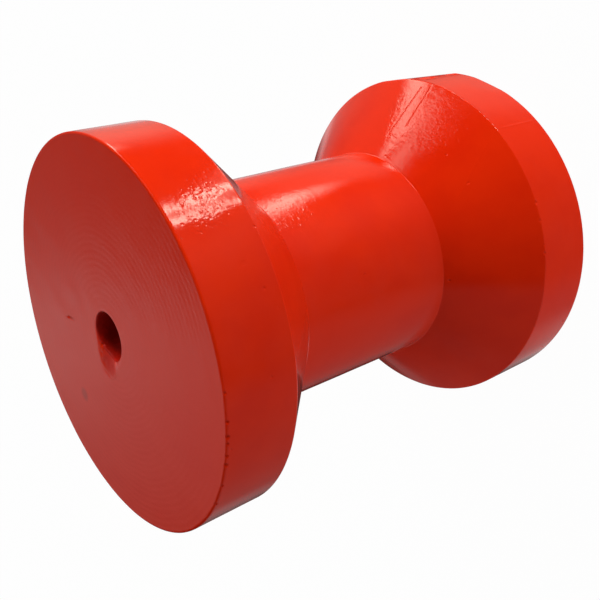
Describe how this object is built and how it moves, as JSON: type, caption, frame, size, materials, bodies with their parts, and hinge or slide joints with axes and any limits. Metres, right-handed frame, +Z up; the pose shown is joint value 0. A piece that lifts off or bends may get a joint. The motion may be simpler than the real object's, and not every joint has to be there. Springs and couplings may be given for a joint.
{
  "type": "boat trailer roller",
  "caption": "Spool-shaped cast keel roller with wide rimmed flanges, sloping inner faces, a slim barrel and a plain shaft hole along its axis.",
  "frame": {"origin": "centre of the lower end face, on the axis of the shaft hole", "axes": "+Z up along the shaft hole; the trimmed flat on the lower rim faces -Y, turned 5 degrees towards -X; the tear at the hole's mouth is in the upper end face"},
  "size_m": [0.1016, 0.1016, 0.127],
  "materials": {
    "red_polyurethane": "gloss cast polyurethane, faintly rippled on the turned sides and satin on the cut end faces"
  },
  "bodies": {
    "root": {"roller": "red_polyurethane"}
  },
  "joints": []
}
